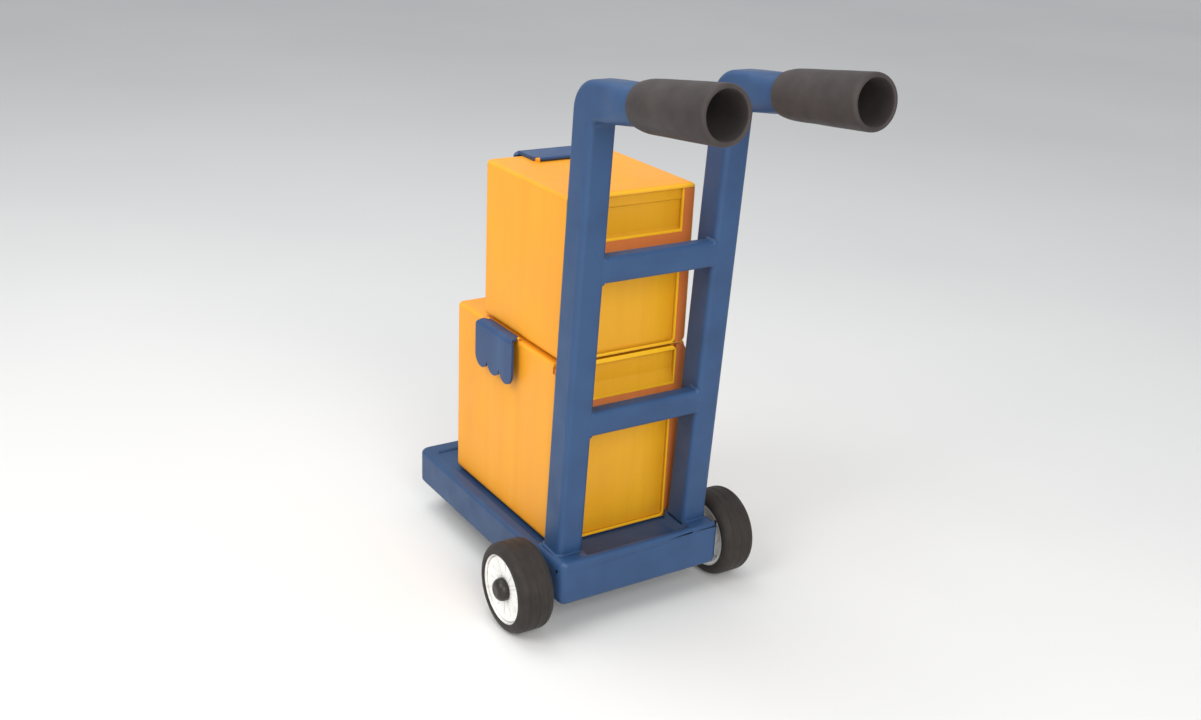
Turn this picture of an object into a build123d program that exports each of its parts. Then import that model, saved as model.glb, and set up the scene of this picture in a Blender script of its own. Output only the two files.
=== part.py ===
from build123d import *
from dataclasses import dataclass
import math
import os

# A small hand cart for books. Two box-section stiles stand on a low tray-like base and lean back a little.
# Each one turns into a handle with a grip, and two rungs tie them together. Two wheels run on an axle
# through the rear crossbeam, and two short legs hold up the front. Two lidded bins stand on the base,
# one on the other.
#
# Millimetres. X runs across the cart, +Y from the handles to the front of the base, +Z up.
# The origin is on the floor, at the middle of the cart's length and width.

os.makedirs("parts", exist_ok=True)

SIDES = (("left", -1), ("right", 1))
REACH = 1000.0                  # longer than anything here, for cuts that go right through
FIT = 0.05                      # radial clearance of a shaft in its hole

# Stiles
BACK = -65.5                    # back face of the stiles at their foot
STILE_SPAN = 220.0              # width over the two stiles
TUBE_WIDTH = 35.0
TUBE_DEPTH = 39.5
TUBE_CORNER = 7.0
TUBE_WALL = 2.0
LEAN = math.atan(0.055)         # the stiles lean back by this angle
FOOT_SPARE = 5.0                # length below the foot before it is cut level

# Base
BASE_BOTTOM = 40.7
BASE_HALF = 118.8
BASE_FRONT = BACK + 372.7
BASE_WALL = 3.0
BEAM_TOP = 98.9
BEAM_BACK = BACK - 20.2
BEAM_DEPTH = 62.0
BEAM_CORNER = 7.0
BEAM_LIP = 10.0                 # wall left behind the trough
RAIL_TOP = 88.3
RAIL_WIDTH = 20.0
RAIL_CORNER = 5.0
FRONT_RAIL_WIDTH = 24.0
FRONT_CORNER = 14.0
DECK_TOP = 85.3
DECK_THICKNESS = 3.0

# Front legs and feet
LEG_X = 60.0
LEG_WIDTH = 28.0
LEG_DEPTH = 17.0
LEG_CORNER = 4.0
FOOT_HEIGHT = 20.0
FOOT_SOLE = 8.0
FOOT_RUBBER = 3.5               # rubber round the leg
FOOT_TOP_ROUND = 1.5
FOOT_SOLE_ROUND = 2.0

# Axle and wheels. Distances along the axle are from the middle of the cart.
AXLE_Y = BACK + 27.7
AXLE_Z = 56.7
AXLE_RADIUS = 5.0
AXLE_HALF = 176.0
AXLE_CHAMFER = 1.0
TYRE_RADIUS = 56.7
TYRE_INNER = 127.4
TYRE_OUTER = 174.1
TYRE_SHOULDER = 11.0
TREAD_LINES = (139.0, 150.75, 162.5)
TREAD_LINE_WIDTH = 1.2
TREAD_LINE_DEPTH = 0.5
RIM_RADIUS = 43.8
RIM_WALL = 5.0
RIM_INSET = 2.0                 # the rim stops short of the tyre's sides
HUB_INNER = 132.0
HUB_OUTER = 166.0
HUB_DRAFT = 3.0
WEB_HALF = 4.0
BOSS_RADIUS = 15.0
DISC_RADIUS = 40.6
DISC_BORE = 12.0
DISC_FACE = 2.2
DISC_EDGE = 3.6
DISC_DISH = 6.0                 # width of the sloping band at the disc's edge
RIB_COUNT = 12
RIB_WIDTH = 3.0
RIB_HEIGHT = 1.5
RIB_CORNER = 1.2
RIB_GAP = 2.0                   # from the cap to the ribs
BUSH_RADIUS = 8.0
BUSH_LENGTH = 14.0
BUSH_FLANGE = 1.6
BUSH_FLANGE_RADIUS = 11.0
SPACER_RADIUS = 10.0
SIDE_PLAY = 0.4                 # between a wheel and what stays still beside it
CAP_RADIUS = 14.3
CAP_BASE = HUB_OUTER + 3.4
CAP_TIP = 181.0
CAP_ROUND = 9.0
SOCKET_SPARE = 1.0              # the cap's socket is cut from this far outside it

# Handles. Distances back are along the handle from where its centre line meets the stile's.
CORNER_Z = 652.8
HANDLE_RISE = math.radians(6.9)
HANDLE_HEIGHT = 44.6
HANDLE_WIDTH = 41.0
HANDLE_CORNER = 14.0
HANDLE_WALL = 3.0
BORE_SPARE = 1.0                # the elbow's bore runs this much past its ends
HANDLE_BLEND = 71.0             # where the handle has its full section
ELBOW_DROP = 48.0               # from the corner down to the top of the stile
ELBOW_BACK = 30.0
ELBOW_OUTER_RADIUS = 38.0
ELBOW_INNER_RADIUS = 6.0
SPIGOT_RADIUS = 19.0
SPIGOT_END = 153.0
PLUG_HEAD = 2.5
PLUG_LENGTH = 10.0
PLUG_ROUND = 1.0
GRIP_START = 92.0
GRIP_SHOULDER = 108.0
GRIP_END = 229.4
GRIP_NECK_RADIUS = 25.6
GRIP_BODY_RADIUS = 27.8
GRIP_END_RADIUS = 30.3
GRIP_HOLLOW_RADIUS = 24.4
GRIP_FRONT_ROUND = 4.5
GRIP_RIM_ROUND = 3.4

# Rungs
RUNG_HEIGHT = 32.0
RUNG_DEPTH = 20.0
RUNG_CORNER = 4.0
RUNG_COPE = 5.0                 # how far a rung's ends reach round the stiles' corners
RUNG_CENTRES = (("lower", 270.5), ("upper", 462.5))

# Bins
BIN_WALL = 2.5
BIN_CORNER = 9.0
BIN_BOTTOM_CORNER = 8.0
BIN_BACK_ROUND = 0.8
BACK_DEPTH = 6.0                # depth of the recess for the back frame, tray and panel
BACK_RIM = 1.2                  # wall left round that recess
BACK_GAP = 0.3                  # between that wall and the back frame
PLINTH = 1.6                    # height of the pad under a bin
PLINTH_INSET = 11.0
LID_THICKNESS = 5.5
LID_EDGE = 4.4
LID_BACK_ROUND = 1.0
SKIRT_DEPTH = 8.0
SKIRT_WALL = 2.2
SKIRT_CLEARANCE = 0.8
LIP_PROUD = 0.8                 # how far the yellow lips stand out of the back frame
LIP_ROUND = 0.7
TRAY_RECESS = 4.8
TRAY_BAND = 3.0                 # depth of the shallower band at the top of a recess
TRAY_SIDE_LIP = 2.4
TRAY_BOTTOM_LIP = 1.6
TRAY_DRAFT = 1.0                # height of the small slope between band and recess
PANEL_LIP = 2.6
PANEL_RECESS = 4.0
PANEL_CORNER = 6.0

# Clips
PIN_RADIUS = 1.2
LUG_WIDTH = 5.0
LUG_GAP = 0.5
CLIP_CORNER = 6.0
CLIP_BEND = 7.0
CLIP_INNER_BEND = 3.5


@dataclass
class Bin:
    """One bin's sizes; Y and Z are places on the cart."""

    name: str
    half: float
    back: float
    front: float
    bottom: float
    top: float
    lid_back: float
    rim_top: float              # the rim round the back frame ends here
    frame_top: float
    frame_corner: float
    tray_half: float
    tray_bottom: float
    tray_top: float
    tray_corner: float
    recess_top: float
    recess_slope: float         # height of the slope at the foot of the recess
    band_bottom: float          # the shallower band runs from here to the top of the recess
    panel_half: float
    panel_top: float

    @property
    def seam(self):
        return self.top - LID_THICKNESS

    @property
    def floor(self):
        return self.bottom + PLINTH

    @property
    def back_bottom(self):
        return self.floor + BACK_RIM + BACK_GAP


@dataclass
class Clip:
    """One lid clip; out and up are measured from the lid's top edge."""

    name: str
    outward: tuple
    edge: tuple
    half: float
    pivot_out: float
    pivot_up: float
    barrel: float
    flange: float
    plate: float
    standoff: float
    drop: float
    lug_middle: float


LOWER_BIN = Bin(
    name="lower", half=95.4, back=BACK + 46.5, front=BACK + 303.2, bottom=DECK_TOP, top=327.6,
    lid_back=BACK + 46.5 + BACK_DEPTH + 0.4, rim_top=316.0, frame_top=326.0, frame_corner=10.0,
    tray_half=79.0, tray_bottom=274.0, tray_top=326.0, tray_corner=9.0,
    recess_top=320.3, recess_slope=19.0, band_bottom=320.3, panel_half=76.0, panel_top=255.0,
)
UPPER_BIN = Bin(
    name="upper", half=89.5, back=BACK + 45.2, front=BACK + 241.5, bottom=327.6, top=531.8,
    lid_back=BACK + 45.2, rim_top=526.3, frame_top=525.9, frame_corner=1.0,
    tray_half=74.0, tray_bottom=473.0, tray_top=525.9, tray_corner=1.5,
    recess_top=525.9, recess_slope=4.0, band_bottom=513.0, panel_half=74.5, panel_top=453.0,
)
BINS = (LOWER_BIN, UPPER_BIN)

LEFT_CLIP = Clip(
    name="lower_left_clip", outward=(-1, 0, 0), edge=(-LOWER_BIN.half, BACK + 179.3, LOWER_BIN.top),
    half=47.3, pivot_out=-2.9, pivot_up=1.2, barrel=2.4, flange=3.2, plate=3.8, standoff=12.0, drop=58.0,
    lug_middle=39.5,
)
RIGHT_CLIP = Clip(
    name="lower_right_clip", outward=(1, 0, 0), edge=(LOWER_BIN.half, BACK + 179.3, LOWER_BIN.top),
    half=47.3, pivot_out=-2.9, pivot_up=1.2, barrel=2.4, flange=3.2, plate=3.8, standoff=12.0, drop=58.0,
    lug_middle=39.5,
)
FRONT_CLIP = Clip(
    name="upper_front_clip", outward=(0, 1, 0), edge=(0, UPPER_BIN.front, UPPER_BIN.top),
    half=44.0, pivot_out=-38.0, pivot_up=2.8, barrel=2.4, flange=4.8, plate=4.0, standoff=10.0, drop=55.0,
    lug_middle=36.5,
)
CLIPS = (LEFT_CLIP, RIGHT_CLIP, FRONT_CLIP)

STILE_X = (STILE_SPAN - TUBE_WIDTH) / 2
CORNER_Y = BACK + TUBE_DEPTH / 2 - math.tan(LEAN) * (CORNER_Z - BEAM_TOP)
BEAM_FRONT = BEAM_BACK + BEAM_DEPTH
RAIL_FRONT = BASE_FRONT - FRONT_RAIL_WIDTH
LEG_Y = BASE_FRONT - FRONT_RAIL_WIDTH / 2
WHEEL_PLANE = Plane(origin=(0, AXLE_Y, AXLE_Z), x_dir=(1, 0, 0), z_dir=(0, -1, 0))
WHEEL_AXIS = Axis((0, AXLE_Y, AXLE_Z), (1, 0, 0))


def save(part, name):
    part.label = name
    export_step(part, f"parts/{name}.step")


def stile_plane(x, up):
    """Plane across a stile, a given distance up its centre line from the foot."""
    y = BACK + TUBE_DEPTH / 2 - up * math.sin(LEAN)
    z = BEAM_TOP + up * math.cos(LEAN)
    return Plane(origin=(x, y, z), x_dir=(1, 0, 0), z_dir=(0, -math.sin(LEAN), math.cos(LEAN)))


def handle_plane(x, back):
    """Plane across a handle, a given distance back along its centre line from the corner."""
    y = CORNER_Y - back * math.cos(HANDLE_RISE)
    z = CORNER_Z + back * math.sin(HANDLE_RISE)
    return Plane(origin=(x, y, z), x_dir=(1, 0, 0), z_dir=(0, -math.cos(HANDLE_RISE), math.sin(HANDLE_RISE)))


def by_stile(down, front):
    """Point in the side view, down a stile from the corner and in front of its centre line."""
    return (
        CORNER_Y + down * math.sin(LEAN) + front * math.cos(LEAN),
        CORNER_Z - down * math.cos(LEAN) + front * math.sin(LEAN),
    )


def by_handle(back, up):
    """Point in the side view, back along a handle from the corner and above its centre line."""
    return (
        CORNER_Y - back * math.cos(HANDLE_RISE) + up * math.sin(HANDLE_RISE),
        CORNER_Z + back * math.sin(HANDLE_RISE) + up * math.cos(HANDLE_RISE),
    )


def bend_point(front, up):
    """Point in the side view where a line along the stile meets a line along the handle."""
    bend = LEAN + HANDLE_RISE
    return by_stile((front * math.sin(bend) - up) / math.cos(bend), front)


def make_stile(side, sign):
    length = (CORNER_Z - BEAM_TOP) / math.cos(LEAN) - ELBOW_DROP
    with BuildPart() as stile:
        with BuildSketch(stile_plane(sign * STILE_X, -FOOT_SPARE)):
            RectangleRounded(TUBE_WIDTH, TUBE_DEPTH, TUBE_CORNER)
            RectangleRounded(
                TUBE_WIDTH - 2 * TUBE_WALL, TUBE_DEPTH - 2 * TUBE_WALL, TUBE_CORNER - TUBE_WALL,
                mode=Mode.SUBTRACT,
            )
        extrude(amount=length + FOOT_SPARE)
        split(bisect_by=Plane.XY.offset(BEAM_TOP), keep=Keep.TOP)
    save(stile.part, f"{side}_stile")


def make_rung(level, height):
    """Tube between the stiles, flush with their back faces and coped round their corners."""
    across = stile_plane(0, (height - BEAM_TOP) / math.cos(LEAN))
    centre = across.origin - across.y_dir * (TUBE_DEPTH - RUNG_DEPTH) / 2
    with BuildPart() as rung:
        with BuildSketch(Plane(origin=centre, x_dir=across.y_dir, z_dir=(1, 0, 0))):
            RectangleRounded(RUNG_DEPTH, RUNG_HEIGHT, RUNG_CORNER)
            RectangleRounded(
                RUNG_DEPTH - 2 * TUBE_WALL, RUNG_HEIGHT - 2 * TUBE_WALL, RUNG_CORNER - TUBE_WALL,
                mode=Mode.SUBTRACT,
            )
        extrude(amount=STILE_X - TUBE_WIDTH / 2 + RUNG_COPE, both=True)
        for _, sign in SIDES:
            with BuildSketch(stile_plane(sign * STILE_X, 0)):
                RectangleRounded(TUBE_WIDTH, TUBE_DEPTH, TUBE_CORNER)
            extrude(amount=REACH, mode=Mode.SUBTRACT)
    save(rung.part, f"{level}_rung")


def make_crossbeam():
    """Hollow rear beam with a trough between the stiles, level with the deck."""
    with BuildPart() as beam:
        with BuildSketch(Plane.XY.offset(BASE_BOTTOM)):
            with Locations((0, BEAM_BACK + BEAM_DEPTH / 2)):
                Rectangle(2 * BASE_HALF, BEAM_DEPTH)
        extrude(amount=BEAM_TOP - BASE_BOTTOM)
        front_face = beam.faces().sort_by(Axis.Y)[-1]
        fillet(beam.edges() - front_face.edges(), BEAM_CORNER)
        with BuildSketch(Plane.XY.offset(DECK_TOP)):
            with Locations((0, BEAM_BACK + BEAM_LIP)):
                Rectangle(STILE_SPAN - 2 * TUBE_WIDTH, BEAM_DEPTH, align=(Align.CENTER, Align.MIN))
        extrude(amount=REACH, mode=Mode.SUBTRACT)
        with BuildSketch(Plane.XY.offset(BASE_BOTTOM + BASE_WALL)):
            with Locations((0, BEAM_BACK + BEAM_DEPTH / 2)):
                Rectangle(2 * (BASE_HALF - BASE_WALL), BEAM_DEPTH - 2 * BASE_WALL)
        extrude(amount=DECK_TOP - BASE_BOTTOM - 2 * BASE_WALL, mode=Mode.SUBTRACT)
        # Holes for the axle
        with BuildSketch(Plane.YZ):
            with Locations((AXLE_Y, AXLE_Z)):
                Circle(AXLE_RADIUS + FIT)
        extrude(amount=REACH, both=True, mode=Mode.SUBTRACT)
    save(beam.part, "rear_crossbeam")


def make_side_rail(side, sign):
    height = RAIL_TOP - BASE_BOTTOM
    x = sign * (BASE_HALF - RAIL_WIDTH / 2)
    plane = Plane(origin=(x, BEAM_FRONT, BASE_BOTTOM + height / 2), x_dir=(-1, 0, 0), z_dir=(0, 1, 0))
    with BuildPart() as rail:
        with BuildSketch(plane):
            RectangleRounded(RAIL_WIDTH, height, RAIL_CORNER)
            RectangleRounded(
                RAIL_WIDTH - 2 * TUBE_WALL, height - 2 * TUBE_WALL, RAIL_CORNER - TUBE_WALL,
                mode=Mode.SUBTRACT,
            )
        extrude(amount=RAIL_FRONT - BEAM_FRONT)
    save(rail.part, f"{side}_side_rail")


def make_front_rail():
    height = RAIL_TOP - BASE_BOTTOM
    with BuildPart() as rail:
        with BuildSketch(Plane.XY.offset(BASE_BOTTOM)):
            with Locations((0, BASE_FRONT)):
                Rectangle(2 * BASE_HALF, FRONT_RAIL_WIDTH, align=(Align.CENTER, Align.MAX))
        extrude(amount=height)
        fillet(rail.edges().filter_by(Axis.Z).group_by(Axis.Y)[-1], FRONT_CORNER)
        rear_face = rail.faces().sort_by(Axis.Y)[0]
        level_edges = rail.edges().group_by(Axis.Z)[0] + rail.edges().group_by(Axis.Z)[-1]
        fillet(level_edges - rear_face.edges(), RAIL_CORNER)
        with BuildSketch(Plane.XY.offset(BASE_BOTTOM + BASE_WALL)):
            with Locations((0, BASE_FRONT - FRONT_RAIL_WIDTH / 2)):
                Rectangle(2 * (BASE_HALF - FRONT_CORNER), FRONT_RAIL_WIDTH - 2 * BASE_WALL)
        extrude(amount=height - 2 * BASE_WALL, mode=Mode.SUBTRACT)
    save(rail.part, "front_rail")


def make_deck():
    with BuildPart() as deck:
        with BuildSketch(Plane.XY.offset(DECK_TOP)):
            with Locations((0, (BEAM_FRONT + RAIL_FRONT) / 2)):
                Rectangle(2 * (BASE_HALF - RAIL_WIDTH), RAIL_FRONT - BEAM_FRONT)
        extrude(amount=-DECK_THICKNESS)
    save(deck.part, "deck_plate")


def make_leg(side, sign):
    with BuildPart() as leg:
        with BuildSketch(Plane.XY.offset(FOOT_SOLE)):
            with Locations((sign * LEG_X, LEG_Y)):
                RectangleRounded(LEG_WIDTH, LEG_DEPTH, LEG_CORNER)
                RectangleRounded(
                    LEG_WIDTH - 2 * TUBE_WALL, LEG_DEPTH - 2 * TUBE_WALL, LEG_CORNER - TUBE_WALL,
                    mode=Mode.SUBTRACT,
                )
        extrude(amount=BASE_BOTTOM - FOOT_SOLE)
    save(leg.part, f"{side}_front_leg")


def make_foot(side, sign):
    """Rubber shoe with a socket for the leg."""
    with BuildPart() as foot:
        with BuildSketch(Plane.XY):
            with Locations((sign * LEG_X, LEG_Y)):
                RectangleRounded(
                    LEG_WIDTH + 2 * FOOT_RUBBER, LEG_DEPTH + 2 * FOOT_RUBBER, LEG_CORNER + FOOT_RUBBER
                )
        extrude(amount=FOOT_HEIGHT)
        fillet(foot.edges().group_by(Axis.Z)[-1], FOOT_TOP_ROUND)
        fillet(foot.edges().group_by(Axis.Z)[0], FOOT_SOLE_ROUND)
        with BuildSketch(Plane.XY.offset(FOOT_SOLE)):
            with Locations((sign * LEG_X, LEG_Y)):
                RectangleRounded(LEG_WIDTH + 2 * FIT, LEG_DEPTH + 2 * FIT, LEG_CORNER + FIT)
        extrude(amount=FOOT_HEIGHT, mode=Mode.SUBTRACT)
    save(foot.part, f"{side}_front_foot")


def elbow_outline(inset, spare):
    """Side view of an elbow, drawn smaller by the inset and longer at both ends by the spare."""
    half_depth = TUBE_DEPTH / 2 - inset
    half_height = HANDLE_HEIGHT / 2 - inset
    return [
        by_stile(ELBOW_DROP + spare, half_depth),
        bend_point(half_depth, half_height),
        by_handle(ELBOW_BACK + spare, half_height),
        by_handle(ELBOW_BACK + spare, -half_height),
        bend_point(-half_depth, -half_height),
        by_stile(ELBOW_DROP + spare, -half_depth),
    ]


def make_handle(side, sign):
    """Elbow, neck and spigot in one, hollow from end to end."""
    x = sign * STILE_X
    side_plane = Plane(origin=(x, 0, 0), x_dir=(0, 1, 0), z_dir=(1, 0, 0))
    outline = elbow_outline(0, 0)
    bore = elbow_outline(HANDLE_WALL, BORE_SPARE)
    with BuildPart() as handle:
        with BuildSketch(side_plane) as side_view:
            with BuildLine():
                Polyline(outline, close=True)
            make_face()
            fillet(side_view.vertices().sort_by_distance((*outline[1], 0))[0], ELBOW_OUTER_RADIUS)
            fillet(side_view.vertices().sort_by_distance((*outline[4], 0))[0], ELBOW_INNER_RADIUS)
        extrude(amount=TUBE_WIDTH / 2, both=True)
        side_faces = handle.faces().filter_by(Axis.X)
        long_edges = side_faces[0].edges() + side_faces[-1].edges()
        stile_end = handle.faces().sort_by(Axis.Z)[0]
        rear_end = handle.faces().sort_by(Axis.Y)[0]
        fillet(long_edges - stile_end.edges() - rear_end.edges(), TUBE_CORNER)
        # The section grows from the elbow to the full handle
        with BuildSketch(handle_plane(x, ELBOW_BACK)):
            RectangleRounded(TUBE_WIDTH, HANDLE_HEIGHT, TUBE_CORNER)
        with BuildSketch(handle_plane(x, HANDLE_BLEND)):
            RectangleRounded(HANDLE_WIDTH, HANDLE_HEIGHT, HANDLE_CORNER)
        loft()
        with BuildSketch(handle_plane(x, HANDLE_BLEND)):
            RectangleRounded(HANDLE_WIDTH, HANDLE_HEIGHT, HANDLE_CORNER)
        extrude(amount=GRIP_START - HANDLE_BLEND)
        with BuildSketch(handle_plane(x, GRIP_START)):
            Circle(SPIGOT_RADIUS)
        extrude(amount=SPIGOT_END - GRIP_START)
        # Hollow from the stile to the end of the spigot
        with BuildSketch(side_plane) as side_view:
            with BuildLine():
                Polyline(bore, close=True)
            make_face()
            fillet(side_view.vertices().sort_by_distance((*bore[1], 0))[0], ELBOW_OUTER_RADIUS - HANDLE_WALL)
        extrude(amount=TUBE_WIDTH / 2 - HANDLE_WALL, both=True, mode=Mode.SUBTRACT)
        with BuildSketch(handle_plane(x, ELBOW_BACK)):
            Circle(SPIGOT_RADIUS - HANDLE_WALL)
        extrude(amount=SPIGOT_END, mode=Mode.SUBTRACT)
    save(handle.part, f"{side}_handle")


def make_plug(side, sign):
    """Plug in the open end of the spigot."""
    plane = handle_plane(sign * STILE_X, SPIGOT_END)
    with BuildPart() as plug:
        with BuildSketch(plane):
            Circle(SPIGOT_RADIUS)
        extrude(amount=PLUG_HEAD)
        with BuildSketch(plane):
            Circle(SPIGOT_RADIUS - HANDLE_WALL - FIT)
        extrude(amount=-PLUG_LENGTH)
        fillet(plug.edges().sort_by(Axis.Y)[0], PLUG_ROUND)
    save(plug.part, f"{side}_handle_plug")


def make_grip(side, sign):
    """Rubber grip, turned about the handle's centre line, with a deep hollow in its rear end."""
    x = sign * STILE_X
    start = handle_plane(x, 0)
    axial = Plane(origin=start.origin, x_dir=start.z_dir, z_dir=(-1, 0, 0))
    with BuildPart() as grip:
        with BuildSketch(axial) as profile:
            with BuildLine():
                Polyline(
                    (GRIP_START, 0),
                    (GRIP_START, GRIP_NECK_RADIUS),
                    (GRIP_SHOULDER, GRIP_BODY_RADIUS),
                    (GRIP_END, GRIP_END_RADIUS),
                    (GRIP_END, 0),
                    close=True,
                )
            make_face()
            rim = profile.vertices().sort_by_distance((GRIP_END, GRIP_END_RADIUS, 0))[0]
            fillet(rim, GRIP_RIM_ROUND)
            neck = profile.vertices().sort_by_distance((GRIP_START, GRIP_NECK_RADIUS, 0))[0]
            fillet(neck, GRIP_FRONT_ROUND)
        revolve(axis=Axis(start.origin, start.z_dir), revolution_arc=360)
        with BuildSketch(handle_plane(x, GRIP_START)):
            Circle(SPIGOT_RADIUS + FIT)
        extrude(amount=SPIGOT_END - GRIP_START, mode=Mode.SUBTRACT)
        with BuildSketch(handle_plane(x, SPIGOT_END)):
            Circle(GRIP_HOLLOW_RADIUS)
        extrude(amount=REACH, mode=Mode.SUBTRACT)
    save(grip.part, f"{side}_grip")


def outward(sign, points):
    """Points of (distance out from the middle, radius) for the left or the right wheel."""
    return [(sign * out, radius) for out, radius in points]


def make_axle():
    axle_line = Plane(origin=(0, AXLE_Y, AXLE_Z), x_dir=(0, 1, 0), z_dir=(1, 0, 0))
    with BuildPart() as axle:
        with BuildSketch(axle_line):
            Circle(AXLE_RADIUS)
        extrude(amount=AXLE_HALF, both=True)
        chamfer(axle.edges(), AXLE_CHAMFER)
    save(axle.part, "axle")


def make_tyre(side, sign):
    points = outward(sign, (
        (TYRE_INNER, RIM_RADIUS + FIT), (TYRE_INNER, TYRE_RADIUS),
        (TYRE_OUTER, TYRE_RADIUS), (TYRE_OUTER, RIM_RADIUS + FIT),
    ))
    with BuildPart() as tyre:
        with BuildSketch(WHEEL_PLANE) as profile:
            with BuildLine():
                Polyline(points, close=True)
            make_face()
            fillet(profile.vertices().group_by(Axis.Y)[-1], TYRE_SHOULDER)
            with Locations([(sign * x, TYRE_RADIUS) for x in TREAD_LINES]):
                Rectangle(TREAD_LINE_WIDTH, 2 * TREAD_LINE_DEPTH, mode=Mode.SUBTRACT)
        revolve(axis=WHEEL_AXIS, revolution_arc=360)
    save(tyre.part, f"{side}_tyre")


def make_hub(side, sign):
    """Rim, web and boss of a moulded wheel."""
    middle = (HUB_INNER + HUB_OUTER) / 2
    rim_inside = RIM_RADIUS - RIM_WALL
    web_top = rim_inside - HUB_DRAFT
    web_foot = BOSS_RADIUS + HUB_DRAFT
    points = outward(sign, (
        (HUB_INNER, BUSH_RADIUS), (HUB_INNER, BOSS_RADIUS), (middle - WEB_HALF, web_foot),
        (middle - WEB_HALF, web_top),
        (TYRE_INNER + RIM_INSET, rim_inside), (TYRE_INNER + RIM_INSET, RIM_RADIUS),
        (TYRE_OUTER - RIM_INSET, RIM_RADIUS), (TYRE_OUTER - RIM_INSET, RIM_RADIUS - RIM_INSET),
        (HUB_OUTER, RIM_RADIUS - HUB_DRAFT), (HUB_OUTER, rim_inside), (middle + WEB_HALF, web_top),
        (middle + WEB_HALF, web_foot), (HUB_OUTER, BOSS_RADIUS), (HUB_OUTER, BUSH_RADIUS),
    ))
    with BuildPart() as hub:
        with BuildSketch(WHEEL_PLANE):
            with BuildLine():
                Polyline(points, close=True)
            make_face()
        revolve(axis=WHEEL_AXIS, revolution_arc=360)
    save(hub.part, f"{side}_hub")


def make_disc(side, sign):
    """Face disc with a shallow dish and low radial ribs."""
    points = outward(sign, (
        (HUB_OUTER, DISC_BORE), (HUB_OUTER, DISC_RADIUS), (HUB_OUTER + DISC_EDGE, DISC_RADIUS),
        (HUB_OUTER + DISC_FACE, DISC_RADIUS - DISC_DISH), (HUB_OUTER + DISC_FACE, DISC_BORE),
    ))
    rib_start = CAP_RADIUS + RIB_GAP
    rib_end = DISC_RADIUS - DISC_DISH - RIB_GAP / 2
    rib_foot = (sign * (HUB_OUTER + RIB_HEIGHT), AXLE_Y, AXLE_Z)
    with BuildPart() as disc:
        with BuildSketch(WHEEL_PLANE):
            with BuildLine():
                Polyline(points, close=True)
            make_face()
        revolve(axis=WHEEL_AXIS, revolution_arc=360)
        with BuildSketch(Plane(origin=rib_foot, x_dir=(0, 1, 0), z_dir=(1, 0, 0))):
            with PolarLocations((rib_start + rib_end) / 2, RIB_COUNT):
                RectangleRounded(rib_end - rib_start, RIB_WIDTH, RIB_CORNER)
        extrude(amount=sign * RIB_HEIGHT)
    save(disc.part, f"{side}_hub_disc")


def bush_outline(sign, face, along):
    """Outline of a flanged bush whose flange lies on a face of the hub; along is +1 or -1, into the hub."""
    return outward(sign, (
        (face - along * BUSH_FLANGE, AXLE_RADIUS + FIT), (face - along * BUSH_FLANGE, BUSH_FLANGE_RADIUS),
        (face, BUSH_FLANGE_RADIUS), (face, BUSH_RADIUS - FIT),
        (face + along * BUSH_LENGTH, BUSH_RADIUS - FIT),
        (face + along * BUSH_LENGTH, AXLE_RADIUS + FIT),
    ))


def make_bushes(side, sign):
    """The two nylon bushes of one wheel."""
    with BuildPart() as bushes:
        for face, along in ((HUB_INNER, 1), (HUB_OUTER, -1)):
            with BuildSketch(WHEEL_PLANE):
                with BuildLine():
                    Polyline(bush_outline(sign, face, along), close=True)
                make_face()
            revolve(axis=WHEEL_AXIS, revolution_arc=360)
    save(bushes.part, f"{side}_wheel_bushes")


def make_spacer(side, sign):
    """Steel ring on the axle between the crossbeam and the wheel."""
    end = HUB_INNER - BUSH_FLANGE - SIDE_PLAY
    points = outward(sign, (
        (BASE_HALF, AXLE_RADIUS + FIT), (BASE_HALF, SPACER_RADIUS),
        (end, SPACER_RADIUS), (end, AXLE_RADIUS + FIT),
    ))
    with BuildPart() as spacer:
        with BuildSketch(WHEEL_PLANE):
            with BuildLine():
                Polyline(points, close=True)
            make_face()
        revolve(axis=WHEEL_AXIS, revolution_arc=360)
    save(spacer.part, f"{side}_axle_spacer")


def make_cap(side, sign):
    """Domed cap pressed on the end of the axle."""
    dome = outward(sign, ((CAP_BASE, 0), (CAP_BASE, CAP_RADIUS), (CAP_TIP, CAP_RADIUS), (CAP_TIP, 0)))
    socket = outward(sign, (
        (CAP_BASE - SOCKET_SPARE, 0), (CAP_BASE - SOCKET_SPARE, AXLE_RADIUS + FIT),
        (AXLE_HALF, AXLE_RADIUS + FIT), (AXLE_HALF, 0),
    ))
    with BuildPart() as cap:
        with BuildSketch(WHEEL_PLANE) as profile:
            with BuildLine():
                Polyline(dome, close=True)
            make_face()
            rim = profile.vertices().sort_by_distance((sign * CAP_TIP, CAP_RADIUS, 0))[0]
            fillet(rim, CAP_ROUND)
        revolve(axis=WHEEL_AXIS, revolution_arc=360)
        with BuildSketch(WHEEL_PLANE):
            with BuildLine():
                Polyline(socket, close=True)
            make_face()
        revolve(axis=WHEEL_AXIS, revolution_arc=360, mode=Mode.SUBTRACT)
    save(cap.part, f"{side}_axle_cap")


def back_plane(case, depth):
    """Upright plane at a depth in front of a bin's back; it faces the rear."""
    return Plane.XZ.offset(-case.back - depth)


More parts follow.
